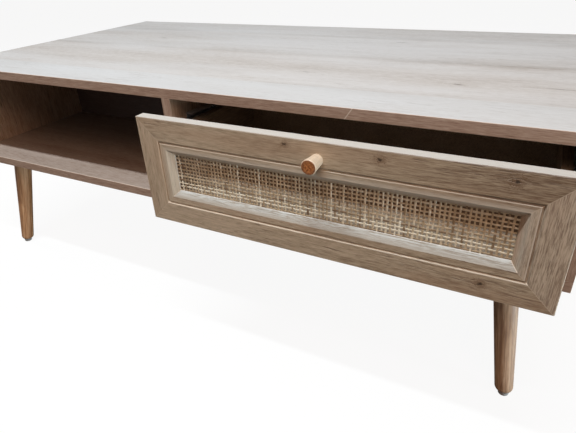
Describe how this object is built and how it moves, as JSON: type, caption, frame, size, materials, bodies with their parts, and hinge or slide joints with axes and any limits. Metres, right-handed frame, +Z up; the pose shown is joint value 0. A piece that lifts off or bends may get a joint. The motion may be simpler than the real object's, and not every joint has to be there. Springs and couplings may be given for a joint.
{
  "type": "coffee table",
  "caption": "Low coffee table on splayed round legs, with open bays and cane-fronted drawers that slide out on ball runners from opposite long sides.",
  "frame": {"origin": "on the floor, under the middle of the part's box as stored with the front drawer 75 mm open, which is 37.5 mm in front of the table's own middle", "axes": "+X along the length, to the right as seen from the front; +Y from the front to the rear; +Z up"},
  "size_m": [1.14, 0.723, 0.413],
  "materials": {
    "washed_oak_board": "washed oak grain on matt board",
    "drawer_front_wood": "grey-brown oak grain, matt",
    "natural_wood": "clear satin varnish",
    "drawer_box_board": "matt brown board",
    "hardboard": "matt thin board",
    "cane": "bare woven cane",
    "zinc_steel": "zinc plated",
    "glide_plastic": "matt"
  },
  "bodies": {
    "carcass": {"bottom_panel": "washed_oak_board", "carcass_base_screws": "zinc_steel", "carcass_cam_bolts": "zinc_steel", "carcass_cam_locks": "zinc_steel", "carcass_dowels": "natural_wood", "centre_divider": "washed_oak_board", "foot_glides": "glide_plastic", "front_left_leg": "natural_wood", "front_right_leg": "natural_wood", "front_runner_channels": "zinc_steel", "left_back_panel": "washed_oak_board", "left_side_panel": "washed_oak_board", "leg_hanger_bolts": "zinc_steel", "leg_plate_screws": "zinc_steel", "leg_plates": "zinc_steel", "rear_left_leg": "natural_wood", "rear_right_leg": "natural_wood", "rear_runner_channels": "zinc_steel", "right_back_panel": "washed_oak_board", "right_side_panel": "washed_oak_board", "runner_channel_screws": "zinc_steel", "top_panel": "washed_oak_board"},
    "front_drawer": {"front_drawer_bottom_rail": "drawer_front_wood", "front_drawer_box_back": "drawer_box_board", "front_drawer_box_bottom": "hardboard", "front_drawer_box_cam_bolts": "zinc_steel", "front_drawer_box_cam_locks": "zinc_steel", "front_drawer_box_left_side": "drawer_box_board", "front_drawer_box_right_side": "drawer_box_board", "front_drawer_box_screws": "zinc_steel", "front_drawer_cane_battens": "drawer_front_wood", "front_drawer_cane_panel": "cane", "front_drawer_knob": "natural_wood", "front_drawer_knob_screw": "zinc_steel", "front_drawer_left_stile": "drawer_front_wood", "front_drawer_right_stile": "drawer_front_wood", "front_drawer_runner_rail_screws": "zinc_steel", "front_drawer_runner_rails": "zinc_steel", "front_drawer_top_rail": "drawer_front_wood"},
    "rear_drawer": {"rear_drawer_bottom_rail": "drawer_front_wood", "rear_drawer_box_back": "drawer_box_board", "rear_drawer_box_bottom": "hardboard", "rear_drawer_box_cam_bolts": "zinc_steel", "rear_drawer_box_cam_locks": "zinc_steel", "rear_drawer_box_left_side": "drawer_box_board", "rear_drawer_box_right_side": "drawer_box_board", "rear_drawer_box_screws": "zinc_steel", "rear_drawer_cane_battens": "drawer_front_wood", "rear_drawer_cane_panel": "cane", "rear_drawer_knob": "natural_wood", "rear_drawer_knob_screw": "zinc_steel", "rear_drawer_left_stile": "drawer_front_wood", "rear_drawer_right_stile": "drawer_front_wood", "rear_drawer_runner_rail_screws": "zinc_steel", "rear_drawer_runner_rails": "zinc_steel", "rear_drawer_top_rail": "drawer_front_wood"},
    "front_cages": {"front_ball_cages": "zinc_steel"},
    "rear_cages": {"rear_ball_cages": "zinc_steel"}
  },
  "joints": [
    {"name": "front_drawer_slide", "type": "slide", "parent": "carcass", "child": "front_drawer", "axis": [0, -1, 0], "range_m": [-0.075, 0.095]},
    {"name": "front_cage_slide", "type": "slide", "parent": "carcass", "child": "front_cages", "axis": [0, -1, 0], "range_m": [-0.0375, 0.0475]},
    {"name": "rear_drawer_slide", "type": "slide", "parent": "carcass", "child": "rear_drawer", "axis": [0, 1, 0], "range_m": [0, 0.17]},
    {"name": "rear_cage_slide", "type": "slide", "parent": "carcass", "child": "rear_cages", "axis": [0, 1, 0], "range_m": [0, 0.085]}
  ],
  "couplings": [
    {"joint": "front_cage_slide", "follows": "front_drawer_slide", "ratio": 0.5},
    {"joint": "rear_cage_slide", "follows": "rear_drawer_slide", "ratio": 0.5}
  ]
}
